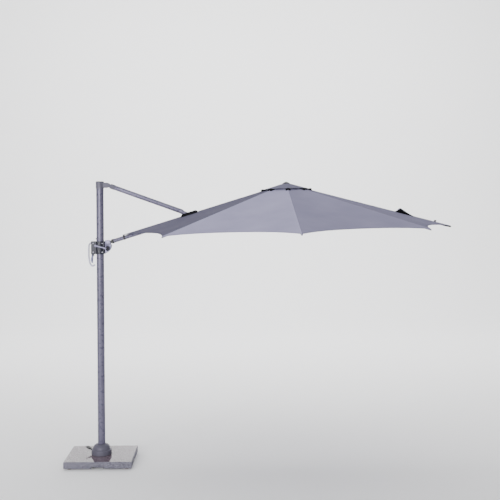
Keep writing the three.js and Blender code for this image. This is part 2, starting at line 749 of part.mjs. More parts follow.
/** The ring that the stretchers meet, with an eye for each of them. */
function runnerRing() {
  const eye = cut(
    join(box(38, HINGE_RADIUS, -5, 5, -8, 8), rodY(8, -5, 5, HINGE_RADIUS)),
    rodY(HOLE_RADIUS, -9, 9, HINGE_RADIUS, 0, PIN_SIDES),
  );
  const eyes = ribBearings().map((bearing) => eye.clone().rotateZ(rad(bearing)));
  return join(collar(24, 44, -14, 14, 16), ...eyes);
}

/** A rib in its own frame: its pin is at the origin and it points along +X. */
function ribBar() {
  const [halfWidth, halfHeight] = [RIB_WIDTH / 2, RIB_HEIGHT / 2];
  const inWidth = halfWidth - RIB_WALL;
  const inHeight = halfHeight - RIB_WALL;
  const tubeEnd = RIB_LENGTH - RIB_TONGUE;
  const bar = cut(
    box(30, tubeEnd, -halfWidth, halfWidth, -halfHeight, halfHeight),
    box(46, tubeEnd - 12, -inWidth, inWidth, -inHeight, inHeight),
  );
  const tip = box(tubeEnd - 8, RIB_LENGTH, -5, 5, halfHeight - 6, halfHeight);
  return cut(
    join(bar, box(0, 32, -5, 5, -7, 7), rodY(8, -5, 5), tip),
    rodY(HOLE_RADIUS, -9, 9, 0, 0, PIN_SIDES),
    rodY(HOLE_RADIUS, -9, 9, STRETCHER, 0, PIN_SIDES),
  );
}

/** A stretcher in its own frame: from the rib's pin at the origin along +X to the runner's pin. */
function stretcherBar(inside, wall, webFrom) {
  const side = roundBar(0, STRETCHER, 7);
  const outside = inside + wall;
  return [
    shapeXZ(side, -outside, -inside),
    shapeXZ(side, inside, outside),
    box(webFrom, STRETCHER - 40, -outside, outside, -7, -5),
    rodY(PIN_RADIUS, -inside - 1, inside + 1, STRETCHER, 0, PIN_SIDES),
  ];
}

function ribStretcher() {
  const crossPin = rodY(PIN_RADIUS, -9, 9, 0, 0, PIN_SIDES);
  return join(...stretcherBar(8, 2, 50), crossPin);
}

/** The eighth stretcher straddles the beam on two stubs. */
function beamStretcher() {
  const stubHole = rodY(HOLE_RADIUS, -40, 40, 0, 0, PIN_SIDES);
  return cut(join(...stretcherBar(23, 3, 155)), stubHole);
}

function makeCanopy() {
  const hub = frameAt(APEX.x, APEX.z, -CANOPY_TILT);
  hub.add(mesh('canopy_cloth', canopyCloth(), cloth));
  hub.add(mesh('vent_cap', ventCap(), cloth));
  hub.add(mesh('hub_crown', hubCrown(), darkMetal));
  hub.add(mesh('finial', finialKnob(), blackPlastic));
  const runner = mesh('runner', runnerRing(), blackPlastic);
  runner.position.z = -RUNNER_DROP;
  hub.add(runner);

  const [rib, stretcher] = [ribBar(), ribStretcher()];
  const reach = HINGE_RADIUS + STRETCHER * Math.cos(rad(RIB_SLOPE));
  const drop = HINGE_DROP + STRETCHER * Math.sin(rad(RIB_SLOPE));
  ribBearings().forEach((bearing, i) => {
    const sector = new THREE.Group();
    sector.rotation.z = rad(bearing);
    const stretcherFrame = frameAt(reach, -drop, 180 - RIB_SLOPE);
    if (i === BEAM_SIDE) {
      stretcherFrame.add(mesh('beam_stretcher', beamStretcher(), anthracite));
    } else {
      const ribFrame = frameAt(HINGE_RADIUS, -HINGE_DROP, RIB_SLOPE);
      ribFrame.add(mesh(`rib_${i}`, rib, anthracite));
      sector.add(ribFrame);
      stretcherFrame.add(mesh(`stretcher_${i}`, stretcher, anthracite));
    }
    sector.add(stretcherFrame);
    hub.add(sector);
  });
  return hub;
}

// ---------------------------------------------------------------- the whole

const parasol = new THREE.Group();
parasol.add(makeBase(), makeMast(), makeStrut(), makeBeam(), makeCarriage(), makeCanopy());

export default parasol;
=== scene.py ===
"""The looks of a cantilever parasol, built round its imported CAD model.

Metres. Z is up, and X runs from the mast to the far tip of the canopy. The hub, the beam and the strut have
frames of their own, and sector(side) is the hub's frame turned to one of the eight ribs.
"""

import json
import math

import bmesh
import bpy
from mathutils import Matrix, Vector

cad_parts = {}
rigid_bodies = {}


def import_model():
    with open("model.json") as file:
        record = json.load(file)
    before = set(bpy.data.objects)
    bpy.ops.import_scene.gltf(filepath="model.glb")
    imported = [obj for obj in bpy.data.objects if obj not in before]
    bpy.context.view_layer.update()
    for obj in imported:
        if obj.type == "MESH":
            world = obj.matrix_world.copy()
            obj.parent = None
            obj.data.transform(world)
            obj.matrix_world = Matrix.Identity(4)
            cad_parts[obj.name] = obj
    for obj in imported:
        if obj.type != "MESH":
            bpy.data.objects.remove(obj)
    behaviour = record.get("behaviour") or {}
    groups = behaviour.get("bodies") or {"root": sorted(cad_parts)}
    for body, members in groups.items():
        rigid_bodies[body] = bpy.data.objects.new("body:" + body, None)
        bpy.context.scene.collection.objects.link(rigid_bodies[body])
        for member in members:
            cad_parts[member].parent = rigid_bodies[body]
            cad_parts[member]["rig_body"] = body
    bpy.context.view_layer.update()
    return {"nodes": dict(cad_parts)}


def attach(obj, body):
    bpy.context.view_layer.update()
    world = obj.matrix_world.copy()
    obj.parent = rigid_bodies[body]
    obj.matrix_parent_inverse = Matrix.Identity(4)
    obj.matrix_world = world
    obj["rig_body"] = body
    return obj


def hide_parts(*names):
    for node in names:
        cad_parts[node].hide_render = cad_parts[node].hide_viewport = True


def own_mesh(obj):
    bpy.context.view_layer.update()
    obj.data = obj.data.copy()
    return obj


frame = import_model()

# ---------------------------------------------------------------- measures of the part

SIDES = 8
BEAM_SIDE = SIDES // 2
PANEL = 2 * math.pi / SIDES
APEX = Vector((1.628, 0, 2.451))
CANOPY_TILT = math.radians(1.6)
RIB_SLOPE = math.radians(15.8)
CORNER = 1.505 * math.cos(RIB_SLOPE)
VENT_RADIUS = 0.17
SCALLOP = 0.09
CLOTH = 0.0012
BEAM_SLOPE = RIB_SLOPE + CANOPY_TILT
BEAM_ROOT = Vector((0.068, 0, 1.934))
HEAD_PIVOT = Vector((0.068, 0, 2.437))
STRUT_SLOPE = math.radians(19.65)
SADDLE_REACH = (0.8026, 0.8966)  # the opening for the strut, from the hub's axis
SADDLE_HALF_WIDTH = 0.027

PANEL_SAG = 0.015
HEM_SAG = 0.0008
HEM_WIDTH = 0.018
STITCH_INSET = 0.003  # from the inner edge of the hem to its line of stitches
STITCH_PITCH = 0.005
SEAM_WIDTH = 0.014

# How light the cloth of each panel is made, from the one after rib 0 on, anticlockwise from above. It is one
# cloth in life: these tones stand in for the light of the photograph.
PAINTED_PANEL_SHADES = [0.56, 0.7, 0.98, 0.34, 0.34, 0.98, 0.7, 0.56]
# The vent's cap is drawn at 0.42 of its colour, a painted shade like the panels'.
CAP_PAINTED_SHADE = 0.42

HUB = Matrix.Translation(APEX) @ Matrix.Rotation(-CANOPY_TILT, 4, "Y")
BEAM = Matrix.Translation(BEAM_ROOT) @ Matrix.Rotation(-BEAM_SLOPE, 4, "Y")
STRUT = Matrix.Translation(HEAD_PIVOT) @ Matrix.Rotation(STRUT_SLOPE, 4, "Y")


def sector(side):
    """The frame on the hub's axis whose X axis points along the rib of that side."""
    return HUB @ Matrix.Rotation(side * PANEL, 4, "Z")


def rib_body(side):
    return "beam" if side == BEAM_SIDE else f"rib_{side}"


# ---------------------------------------------------------------- materials


class Shader:
    """A node material that is put together line by line."""

    def __init__(self, name):
        self.material = bpy.data.materials.new(name)
        self.material.use_nodes = True
        self.tree = self.material.node_tree
        self.surface = self.tree.nodes["Principled BSDF"]

    def set(self, **values):
        """Constant values of the surface's own sockets."""
        for socket, value in values.items():
            self.surface.inputs[socket.replace("_", " ")].default_value = value

    def plug(self, value, socket):
        if isinstance(value, bpy.types.NodeSocket):
            self.tree.links.new(value, socket)
        else:
            socket.default_value = value

    def node(self, kind, sockets, **properties):
        made = self.tree.nodes.new("ShaderNode" + kind)
        for name, value in properties.items():
            setattr(made, name, value)
        for name, value in sockets.items():
            self.plug(value, made.inputs[name])
        return made

    def place(self):
        """The point in the piece's own space, which stays with the piece when it moves."""
        return self.node("TexCoord", {}).outputs["Object"]

    def uv(self, name):
        return self.node("UVMap", {}, uv_map=name).outputs["UV"]

    def noise(self, point, scale, detail=2.0, stretch=(1, 1, 1)):
        spread = self.node("Mapping", {"Vector": point, "Scale": stretch}).outputs["Vector"]
        return self.node("TexNoise", {"Vector": spread, "Scale": scale, "Detail": detail}).outputs["Fac"]

    def math(self, operation, a, b=0.0, c=0.0):
        return self.node("Math", {0: a, 1: b, 2: c}, operation=operation).outputs[0]

    def remap(self, value, low, high, to_low=0.0, to_high=1.0):
        sockets = {"Value": value, "From Min": low, "From Max": high, "To Min": to_low, "To Max": to_high}
        return self.node("MapRange", sockets).outputs[0]

    def mix(self, share, a, b):
        made = self.node("Mix", {}, data_type="RGBA")
        for index, value in ((0, share), (6, a), (7, b)):
            self.plug(value, made.inputs[index])
        return made.outputs[2]

    def bump(self, height, distance, strength=1.0, under=None):
        sockets = {"Height": height, "Distance": distance, "Strength": strength}
        if under is not None:
            sockets["Normal"] = under
        return self.node("Bump", sockets).outputs["Normal"]

    def edges(self, radius):
        """The rounded normal, and how strongly the surface turns there."""
        rounded = self.node("Bevel", {"Radius": radius}, samples=4).outputs["Normal"]
        flat = self.node("NewGeometry", {}).outputs["Normal"]
        along = self.node("VectorMath", {0: rounded, 1: flat}, operation="DOT_PRODUCT").outputs["Value"]
        return rounded, self.remap(along, 0.995, 0.8)

    def tone(self):
        """The painted shade of the cloth there, kept on the mesh."""
        return self.node("Attribute", {}, attribute_name="painted_panel_shade").outputs["Fac"]

    def finish(self, colour, roughness, normal):
        self.plug(colour, self.surface.inputs["Base Color"])
        self.plug(roughness, self.surface.inputs["Roughness"])
        self.plug(normal, self.surface.inputs["Normal"])
        return self.material


def rgb(red, green, blue):
    """A colour given in 0 to 255, as the linear values that a shader takes."""
    return tuple(((c / 255 + 0.055) / 1.055) ** 2.4 for c in (red, green, blue)) + (1.0,)


def coated(name, dark, light, metallic, roughness, grain=900, grain_depth=0.00003, wear=0.5, worn=None,
           shine=0.5):
    """Paint, moulding or casting: mottled colour, fine grain, and edges that are rubbed lighter.

    grain is how fine the grain is and grain_depth its height, wear is how far the edges turn to the colour
    worn, and shine is the strength of the reflections of a surface that isn't metal.
    """
    s = Shader(name)
    point = s.place()
    rounded, edge = s.edges(0.0012)
    cloudy = s.noise(point, 9, 4)
    smudges = s.noise(point, 38, 3)
    fine = s.noise(point, grain, 2)
    body = s.mix(s.remap(cloudy, 0.25, 0.75), dark, light)
    rubbed = s.math("MULTIPLY", s.math("MULTIPLY", edge, s.remap(smudges, 0.35, 0.65)), wear)
    colour = s.mix(rubbed, body, worn or light)
    s.set(Metallic=metallic, Specular_IOR_Level=shine)
    rough = s.remap(smudges, 0.3, 0.7, roughness * 0.93, roughness * 1.08)
    return s.finish(colour, rough, s.bump(fine, grain_depth, 0.6, rounded))


def brushed(name, dark, light, roughness, stretch):
    """Bare metal with drawn lines."""
    s = Shader(name)
    point = s.place()
    rounded, edge = s.edges(0.0008)
    lines = s.noise(point, 260, 3, stretch)
    colour = s.mix(s.remap(lines, 0.3, 0.7), dark, light)
    s.set(Metallic=0.9)
    rough = s.remap(s.math("ADD", lines, s.noise(point, 30)), 0.6, 1.4, roughness * 0.7, roughness * 1.3)
    return s.finish(s.mix(edge, colour, light), rough, s.bump(lines, 0.00002, 0.5, rounded))


def granite():
    """Polished on top, sawn at the sides, with grains of three sizes and edges that are rubbed lighter."""
    sawn_roughness, polished_roughness = 0.6, 0.045
    pit_depth, pits_left_by_polishing = 0.0006, 0.05
    s = Shader("polished_granite")
    point = s.place()
    rounded, edge = s.edges(0.003)
    grains = s.node("TexVoronoi", {"Vector": point, "Scale": 260.0}).outputs["Color"]
    flecks = s.node("SeparateColor", {"Color": grains}).outputs["Red"]
    cloudy = s.noise(point, 34, 5)
    coarse = s.noise(point, 140, 3)
    up = s.node("SeparateXYZ", {"Vector": s.node("NewGeometry", {}).outputs["Normal"]}).outputs["Z"]
    top = s.remap(up, 0.8, 0.95)
    sawn = s.mix(s.remap(flecks, 0.2, 0.8), rgb(68, 66, 80), rgb(120, 118, 132))
    polished = s.mix(s.remap(flecks, 0.15, 0.85), rgb(78, 66, 74), rgb(112, 98, 107))
    stone = s.mix(top, sawn, polished)
    stone = s.mix(s.remap(coarse, 0.6, 0.68), stone, rgb(62, 60, 68))
    stone = s.mix(s.remap(cloudy, 0.62, 0.8, 0.0, 0.35), stone, rgb(176, 172, 178))
    stone = s.mix(s.math("MULTIPLY", edge, 0.4), stone, rgb(150, 147, 154))
    rough = s.math("ADD", s.remap(top, 0, 1, sawn_roughness, polished_roughness),
                   s.math("MULTIPLY", coarse, 0.05))
    pits = s.math("MULTIPLY", s.remap(top, 0, 1, 1.0, pits_left_by_polishing), s.noise(point, 420, 3))
    s.set(IOR=1.45)
    return s.finish(stone, rough, s.bump(pits, pit_depth, 0.5, rounded))


def weave(name, dark, light, pitch=0.0011):
    """Plain-woven cloth: two sets of threads, streaks along them, sun-faded patches, a painted shade for
    each panel, and a stitched hem.
    """
    s = Shader(name)
    cloth = s.uv("Cloth")
    across = s.node("SeparateXYZ", {"Vector": cloth}).outputs
    turns = 2 * math.pi / pitch
    warp = s.math("SINE", s.math("MULTIPLY", across["X"], turns))
    weft = s.math("SINE", s.math("MULTIPLY", across["Y"], turns))
    threads = s.math("MULTIPLY", warp, weft)
    streaks = s.noise(cloth, 60, 3, (1, 14, 1))
    faded = s.noise(cloth, 2.4, 3)
    tone = s.math("ADD", s.math("MULTIPLY", faded, 0.7), s.math("MULTIPLY", streaks, 0.3))
    body = s.mix(s.remap(tone, 0.36, 0.64), dark, light)
    # Each panel's colour is scaled by its painted shade.
    body = s.node("VectorMath", {0: body, "Scale": s.tone()}, operation="SCALE").outputs["Vector"]
    hem = s.node("SeparateXYZ", {"Vector": s.uv("Hem")}).outputs
    from_line = s.math("ABSOLUTE", s.math("SUBTRACT", hem["Y"], HEM_WIDTH - STITCH_INSET))
    dashes = s.remap(s.math("FRACT", s.math("DIVIDE", hem["X"], STITCH_PITCH)), 0.6, 0.7, 1.0, 0.0)
    stitch = s.math("MULTIPLY", s.remap(from_line, 0.0005, 0.0011, 1.0, 0.0), dashes)
    doubled = s.remap(hem["Y"], HEM_WIDTH - 0.0005, HEM_WIDTH + 0.0005, 0.22, 0.0)
    shade = s.node("VectorMath", {0: body, "Scale": 0.8}, operation="SCALE").outputs["Vector"]
    colour = s.mix(doubled, body, shade)
    colour = s.mix(s.math("MULTIPLY", stitch, 0.75), colour, rgb(70, 69, 82))
    ripples = s.noise(cloth, 7, 3, (1, 2.6, 1))
    normal = s.bump(ripples, 0.004, 0.22)
    normal = s.bump(threads, 0.00012, 0.5, normal)
    normal = s.bump(stitch, 0.0006, 0.8, normal)
    s.set(Sheen_Weight=0.015, Sheen_Roughness=0.6, Specular_IOR_Level=0.01)
    rough = s.remap(streaks, 0.3, 0.7, 0.82, 0.96)
    return s.finish(colour, rough, normal)


ANTHRACITE = coated(
    "anthracite_coat", rgb(94, 91, 109), rgb(104, 101, 119), 0.35, 0.28, wear=0.0, shine=0.02
)
DARK_CASTING = coated(
    "dark_cast_metal", rgb(88, 86, 98), rgb(98, 96, 108), 0.12, 0.38, 420, 0.00012, shine=0.05
)
SILVER_CASTING = coated(
    "silver_cast_metal", rgb(106, 104, 128), rgb(124, 122, 146), 0.4, 0.26, 500, 0.00006, shine=0.1
)
POLISHED = coated("polished_aluminium", rgb(172, 171, 192), rgb(190, 189, 208), 0.3, 0.2, shine=0.2)
# A painted shade for the hollows of the bracket's cheeks.
PAINTED_RECESS_SHADE = coated("painted_recess_shade", rgb(44, 43, 50), rgb(56, 55, 62), 0.1, 0.5, 420, 0.00012, shine=0.05)
ZINC = brushed("zinc_plated_steel", rgb(84, 84, 94), rgb(122, 122, 132), 0.32, (1, 1, 0.04))
GLOSSY_BLACK = coated(
    "glossy_black_plastic", rgb(30, 31, 40), rgb(42, 43, 54), 0.15, 0.2, 700, 0.00004,
    worn=rgb(86, 88, 108), wear=0.4, shine=0.3
)
MATT_BLACK = coated(
    "matt_black_plastic", rgb(22, 22, 25), rgb(34, 34, 38), 0.0, 0.5, 520, 0.00012, worn=rgb(70, 70, 76)
)
TRIGGER_BLUE = coated("lavender_plastic", rgb(84, 85, 128), rgb(108, 108, 154), 0.0, 0.34, 600, 0.00006)
BUSH_PLASTIC = coated("bush_plastic", rgb(206, 206, 200), rgb(222, 222, 216), 0.0, 0.5)
FOOT_RUBBER = coated("foot_rubber", rgb(92, 78, 66), rgb(122, 104, 88), 0.0, 0.85, 300, 0.0002)
GRANITE = granite()
CANOPY_CLOTH = weave("canopy_cloth", rgb(150, 147, 175), rgb(164, 161, 189))
BLACK_WEBBING = weave("black_webbing", rgb(20, 20, 23), rgb(34, 34, 38), 0.0016)

CAD_FINISHES = {
    ANTHRACITE: ["mast_tube", "strut_tube", "beam_tube", "rib_", "stretcher_", "beam_stretcher"],
    DARK_CASTING: [
        "foot_housing", "mast_head", "beam_saddle", "beam_clamp", "hub_crown", "head_pin", "saddle_pin"
    ],
    SILVER_CASTING: ["strut_knuckle", "pivot_bracket", "pivot_bolt", "crank_"],
    POLISHED: ["grip_handle"],
    ZINC: ["counter_plate", "spigot_flange", "flange_bolt", "pedal_pin", "slider_screw"],
    GLOSSY_BLACK: ["slider_front_shell", "slider_rear_shell", "head_cap"],
    MATT_BLACK: ["beam_root", "finial", "runner", "stop_screw", "foot_pedal"],
    TRIGGER_BLUE: ["trigger"],
    BUSH_PLASTIC: ["swivel_bush", "slide_liner"],
    FOOT_RUBBER: ["levelling_foot"],
    GRANITE: ["granite_slab"],
    CANOPY_CLOTH: ["canopy_cloth", "vent_cap"],
}


def dress_cad_nodes():
    """Gives each CAD node its finish and smooth curves."""
    for name, node in frame["nodes"].items():
        material = next(m for m, starts in CAD_FINISHES.items() if name.startswith(tuple(starts)))
        node.data.materials.clear()
        node.data.materials.append(material)
        smooth_below(node.data, 32)


def smooth_below(mesh, degrees):
    mesh.polygons.foreach_set("use_smooth", [True] * len(mesh.polygons))
    mesh.set_sharp_from_angle(angle=math.radians(degrees))


# ---------------------------------------------------------------- building pieces


def piece(name, bm, place, material, body, replaced=(), sharp=35):
    """A mesh made in the frame at place, which rides on a CAD body and may replace CAD nodes."""
    bmesh.ops.recalc_face_normals(bm, faces=bm.faces)
    mesh = bpy.data.meshes.new(name)
    bm.to_mesh(mesh)
    bm.free()
    mesh.transform(place)
    mesh.materials.append(material)
    smooth_below(mesh, sharp)
    made = bpy.data.objects.new(name, mesh)
    bpy.context.scene.collection.objects.link(made)
    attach(made, body)
    if replaced:
        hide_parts(*replaced)
    return made


def skin(rings):
    """A mesh through rings of points: each is joined to the next one, and the two end rings are filled."""
    bm = bmesh.new()
    rows = [[bm.verts.new(p) for p in ring] for ring in rings]
    count = len(rows[0])
    for low, high in zip(rows, rows[1:]):
        for i in range(count):
            j = (i + 1) % count
            bm.faces.new((low[i], low[j], high[j], high[i]))
    bm.faces.new(rows[0])
    bm.faces.new(rows[-1])
    bmesh.ops.remove_doubles(bm, verts=bm.verts, dist=1e-6)
    return bm


def shell(top, under, kept=lambda row, column: True, wrap=False):
    """A closed thin sheet between two grids of points. With wrap, the last column meets the first."""
    bm = bmesh.new()
    upper = [[bm.verts.new(p) for p in line] for line in top]
    lower = [[bm.verts.new(p) for p in line] for line in under]
    columns = len(top[0])
    last = columns if wrap else columns - 1
    cells = {(i, j) for i in range(len(top) - 1) for j in range(last) if kept(i, j)}
    for i, j in sorted(cells):
        k = (j + 1) % columns
        corners = [(i, j), (i + 1, j), (i + 1, k), (i, k)]
        bm.faces.new([upper[r][c] for r, c in corners])
        bm.faces.new([lower[r][c] for r, c in reversed(corners)])
        beyond = [(i, j - 1), (i + 1, j), (i, j + 1), (i - 1, j)]
        if wrap:
            beyond = [(r, c % last) for r, c in beyond]
        for near, far, next_cell in zip(corners, corners[1:] + corners[:1], beyond):
            if next_cell not in cells:
                (r, c), (t, u) = near, far
                bm.faces.new((upper[r][c], lower[r][c], lower[t][u], upper[t][u]))
    bmesh.ops.delete(bm, geom=[v for v in bm.verts if not v.link_faces], context="VERTS")
    return bm


def lowered(grid, depth):
    return [[(x, y, z - depth) for x, y, z in line] for line in grid]


def loft(sections, power=2.6, around=40):
    """A solid along X with rounded sections.

    Each section is (x, half width in Y, half height in Z, height of its middle). A power of 2 gives
    ellipses, and a higher one squarer sections.
    """
    rings = []
    for x, wide, high, middle in sections:
        ring = []
        for i in range(around):
            c, s = math.cos(2 * math.pi * i / around), math.sin(2 * math.pi * i / around)
            y = math.copysign(abs(c) ** (2 / power), c) * wide
            z = math.copysign(abs(s) ** (2 / power), s) * high
            ring.append((x, y, middle + z))
        rings.append(ring)
    return skin(rings)


def lathe(profile, sides=64):
    """A turned solid about Z, from (radius, height) points that run from one end to the other."""
    turns = [2 * math.pi * i / sides for i in range(sides)]
    return skin([[(r * math.cos(a), r * math.sin(a), z) for a in turns] for r, z in profile])


def softened(points, cut, steps=3):
    """The line of (radius, height) points with its inner corners rounded off."""
    line = [Vector(p) for p in points]
    soft = [line[0]]
    for before, at, after in zip(line, line[1:], line[2:]):
        start = at + (before - at).normalized() * min(cut, (before - at).length * 0.45)
        end = at + (after - at).normalized() * min(cut, (after - at).length * 0.45)
        for i in range(steps + 1):
            t = i / steps
            soft.append(start * (1 - t) ** 2 + at * (2 * t * (1 - t)) + end * t * t)
    soft.append(line[-1])
    return [tuple(p) for p in soft]


def add_to(bm, other):
    """Puts a second mesh into the first, and lets go of the second."""
    spare = bpy.data.meshes.new("spare")
    other.to_mesh(spare)
    other.free()
    bm.from_mesh(spare)
    bpy.data.meshes.remove(spare)


def block(x0, x1, y0, y1, z0, z1, bevel):
    """A box with rounded edges."""
    bm = bmesh.new()
    bmesh.ops.create_cube(bm, size=1)
    size = Matrix.Diagonal((x1 - x0, y1 - y0, z1 - z0, 1))
    bm.transform(Matrix.Translation(((x0 + x1) / 2, (y0 + y1) / 2, (z0 + z1) / 2)) @ size)
    bmesh.ops.bevel(bm, geom=bm.edges, offset=bevel, segments=3, profile=0.5, affect="EDGES")
    return bm


# ---------------------------------------------------------------- refined copies of the CAD's own shapes

RIM_CUT = 0.0007
RIM_ANGLE = 33  # two faces that turn by more than these degrees meet in a rim
ROUNDED = {  # the material slot, and the CAD nodes that it is for
    "anthracite_tube": ["mast_tube", "strut_tube", "beam_tube"],
    "dark_casting": ["foot_housing", "mast_head", "head_pin", "saddle_pin", "beam_saddle"],
    "black_plastic": ["head_cap", "beam_root", "slider_front_shell", "slider_rear_shell", "foot_pedal"],
    "silver_casting": ["pivot_bolt"],
    "trigger_plastic": ["trigger"],
    "zinc_steel": [f"slider_screw_{i}" for i in range(1, 5)],
}


def rounded_copy(name):
    """The CAD node's own shape with its rims rounded off and its curved sides shaded as one surface."""
    node = frame["nodes"][name]
    bm = bmesh.new()
    bm.from_mesh(node.data)
    bm.transform(node.matrix_world)
    bmesh.ops.remove_doubles(bm, verts=bm.verts, dist=1e-5)
    bmesh.ops.dissolve_limit(bm, angle_limit=math.radians(1), verts=bm.verts, edges=bm.edges)
    rims = [e for e in bm.edges if len(e.link_faces) == 2 and e.calc_face_angle(0) > math.radians(RIM_ANGLE)]
    bmesh.ops.bevel(
        bm, geom=rims, offset=RIM_CUT, segments=2, profile=0.5, affect="EDGES", clamp_overlap=True
    )
    bmesh.ops.triangulate(bm, faces=[f for f in bm.faces if len(f.verts) > 4])
    material = node.data.materials[0]
    made = piece(f"{name}_rounded", bm, Matrix(), material, node["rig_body"], [name], RIM_ANGLE)
    made.modifiers.new("flat_faces_stay_flat", "WEIGHTED_NORMAL").keep_sharp = True


def rounded_copies():
    for slot, names in ROUNDED.items():
        for name in names:
            rounded_copy(name)


# ---------------------------------------------------------------- canopy

PULL_START = 0.45  # the share of the way out where the corners start to pull the cloth into ripples
PULL_REACH = 0.11
RIPPLE_HEIGHT = 0.0022
RIPPLE_PITCH = 0.062

GORE_ROWS = 96
GORE_COLUMNS = 20  # between the strut's opening and the middle of the panel
LEAST_ROW = 0.004  # an even row that is nearer to the opening's edge than this share is left out
UNDER_CAP = 0.004  # how far the gores reach in past the vent's edge
HALVINGS = 40  # of the range in which the hem is looked for


def hem_reach(share):
    """(x, y) of the hem in a panel's frame. share is -1 and 1 at the ribs and 0 at the panel's middle."""
    middle = CORNER * math.cos(PANEL / 2) - SCALLOP * (1 - share * share)
    return middle, CORNER * math.sin(PANEL / 2) * share


def cloth_height(x, y):
    """The height of the cloth at a point of the frame of the nearest rib."""
    radius = math.hypot(x, y)
    off_rib = abs(math.atan2(y, x))
    off_middle = PANEL / 2 - off_rib
    flat = radius * math.cos(off_middle) / math.cos(PANEL / 2) * math.tan(RIB_SLOPE)
    out = radius / CORNER
    slack = math.sin(math.pi / 2 * off_rib / (PANEL / 2))
    sag = (PANEL_SAG * 4 * out * max(0.0, 1 - out) + HEM_SAG * out) * slack
    pull = math.exp(-((radius * off_rib) / PULL_REACH) ** 2) * max(0.0, out - PULL_START) * slack
    ripple = RIPPLE_HEIGHT * pull * math.sin(radius * 2 * math.pi / RIPPLE_PITCH + 3 * out)
    return ripple - flat - sag


def gore_columns():
    """Bearings of one gore's columns, closer together beside the rib, with one at the strut's opening."""
    opening = math.atan(SADDLE_HALF_WIDTH / (sum(SADDLE_REACH) / 2))
    beside = [0.0, 0.35 * opening, opening]
    spread = [opening + (PANEL / 2 - opening) * i / GORE_COLUMNS for i in range(1, GORE_COLUMNS + 1)]
    half = beside + spread
    return [-b for b in reversed(half[1:])] + half


def hem_radius(off_rib):
    """How far the hem is from the hub's axis at that bearing from the rib."""
    bearing = PANEL / 2 - abs(off_rib)
    low, high = 0.0, 1.0
    for _ in range(HALVINGS):
        share = (low + high) / 2
        x, y = hem_reach(share)
        low, high = (share, high) if math.atan2(y, x) < bearing else (low, share)
    return math.hypot(*hem_reach((low + high) / 2))


def gore_rows():
    """Shares of the way from the hub's axis to the hem."""
    start = (VENT_RADIUS - UNDER_CAP) / CORNER
    even = [start + (1 - start) * i / GORE_ROWS for i in range(GORE_ROWS + 1)]
    marks = [reach / CORNER for reach in SADDLE_REACH]
    return sorted([v for v in even if min(abs(v - m) for m in marks) > LEAST_ROW] + marks)


def add_cloth_maps(mesh, place, side_of_rib):
    """Two maps in metres, of the cloth's own threads and of the way along and in from the hem, and each
    panel's painted shade.
    """
    back = place.inverted()
    painted_shades = mesh.attributes.new("painted_panel_shade", "FLOAT", "FACE")
    threads = mesh.uv_layers.new(name="Cloth")
    hems = mesh.uv_layers.new(name="Hem")
    for face in mesh.polygons:
        side = 1 if (back @ face.center).y >= 0 else -1
        panel = side_of_rib if side == 1 else (side_of_rib - 1) % SIDES
        painted_shades.data[face.index].value = PAINTED_PANEL_SHADES[panel]
        turn = Matrix.Rotation(-side * PANEL / 2, 4, "Z")
        for loop in face.loop_indices:
            x, y, _ = turn @ (back @ mesh.vertices[mesh.loops[loop].vertex_index].co)
            hem, _ = hem_reach(y / (CORNER * math.sin(PANEL / 2)))
            threads.data[loop].uv = (y, x / math.cos(RIB_SLOPE))
            hems.data[loop].uv = (y, hem - x)


def canopy_gore(side):
    """The cloth from the middle of one panel to the middle of the next, sewn over one rib."""
    columns, rows = gore_columns(), gore_rows()
    top = []
    for share in rows:
        line = []
        for bearing in columns:
            radius = hem_radius(bearing) * share
            x, y = radius * math.cos(bearing), radius * math.sin(bearing)
            line.append((x, y, cloth_height(x, y)))
        top.append(line)

    def kept(i, j):
        middle = (rows[i] + rows[i + 1]) / 2 * CORNER
        beside = abs(columns[j] + columns[j + 1]) / 2 * middle
        open_here = SADDLE_REACH[0] < middle < SADDLE_REACH[1] and beside < SADDLE_HALF_WIDTH
        return side != BEAM_SIDE or not open_here

    place = sector(side)
    bm = shell(top, lowered(top, CLOTH), kept)
    name = f"canopy_gore_{side}"
    gore = piece(name, bm, place, CANOPY_CLOTH, rib_body(side), ["canopy_cloth"], 50)
    add_cloth_maps(gore.data, place, side)
    return gore


def rib_tape(side):
    """The folded seam over the rib: a narrow doubled strip from the vent to the corner."""
    place = sector(side)
    start, end, count = VENT_RADIUS + 0.02, CORNER - 0.006, 60
    clear_of_opening = 0.018
    stops = [start + (end - start) * i / count for i in range(count + 1)]
    half = SEAM_WIDTH / 2
    section = [(-half, 0.0002), (-half * 0.8, 0.0013), (0, 0.0017), (half * 0.8, 0.0013), (half, 0.0002)]
    top = [[(x, y, cloth_height(x, y) + lift) for y, lift in section] for x in stops]
    under = [[(x, y, cloth_height(x, y) - 0.0004) for y, _ in section] for x in stops]

    def kept(i, j):
        starts_before_end = stops[i] < SADDLE_REACH[1] + clear_of_opening
        ends_after_start = stops[i + 1] > SADDLE_REACH[0] - clear_of_opening
        return side != BEAM_SIDE or not (starts_before_end and ends_after_start)

    bm = shell(top, under, kept)
    tape = piece(f"rib_tape_{side}", bm, place, CANOPY_CLOTH, rib_body(side), (), 60)
    add_cloth_maps(tape.data, place, side)
    return tape


def build_canopy():
    """Eight gores that meet at the middles of the panels, each with its seam."""
    for side in range(SIDES):
        gore = canopy_gore(side)
        tape = rib_tape(side)
        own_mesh(gore)


VENT_RIM = 0.202
VENT_DROP = 0.046
VENT_LIFT = 0.008
VENT_HOLE = 0.008  # round the finial's stem
VENT_SLACK = 0.004
VENT_SCALLOP = 0.06  # how far its rim draws in at a panel's middle, as a share of its reach
VENT_HEM = 0.93  # where its hem starts, as a share of its reach
VENT_ROWS = 26
VENT_COLUMNS = 12  # to each panel


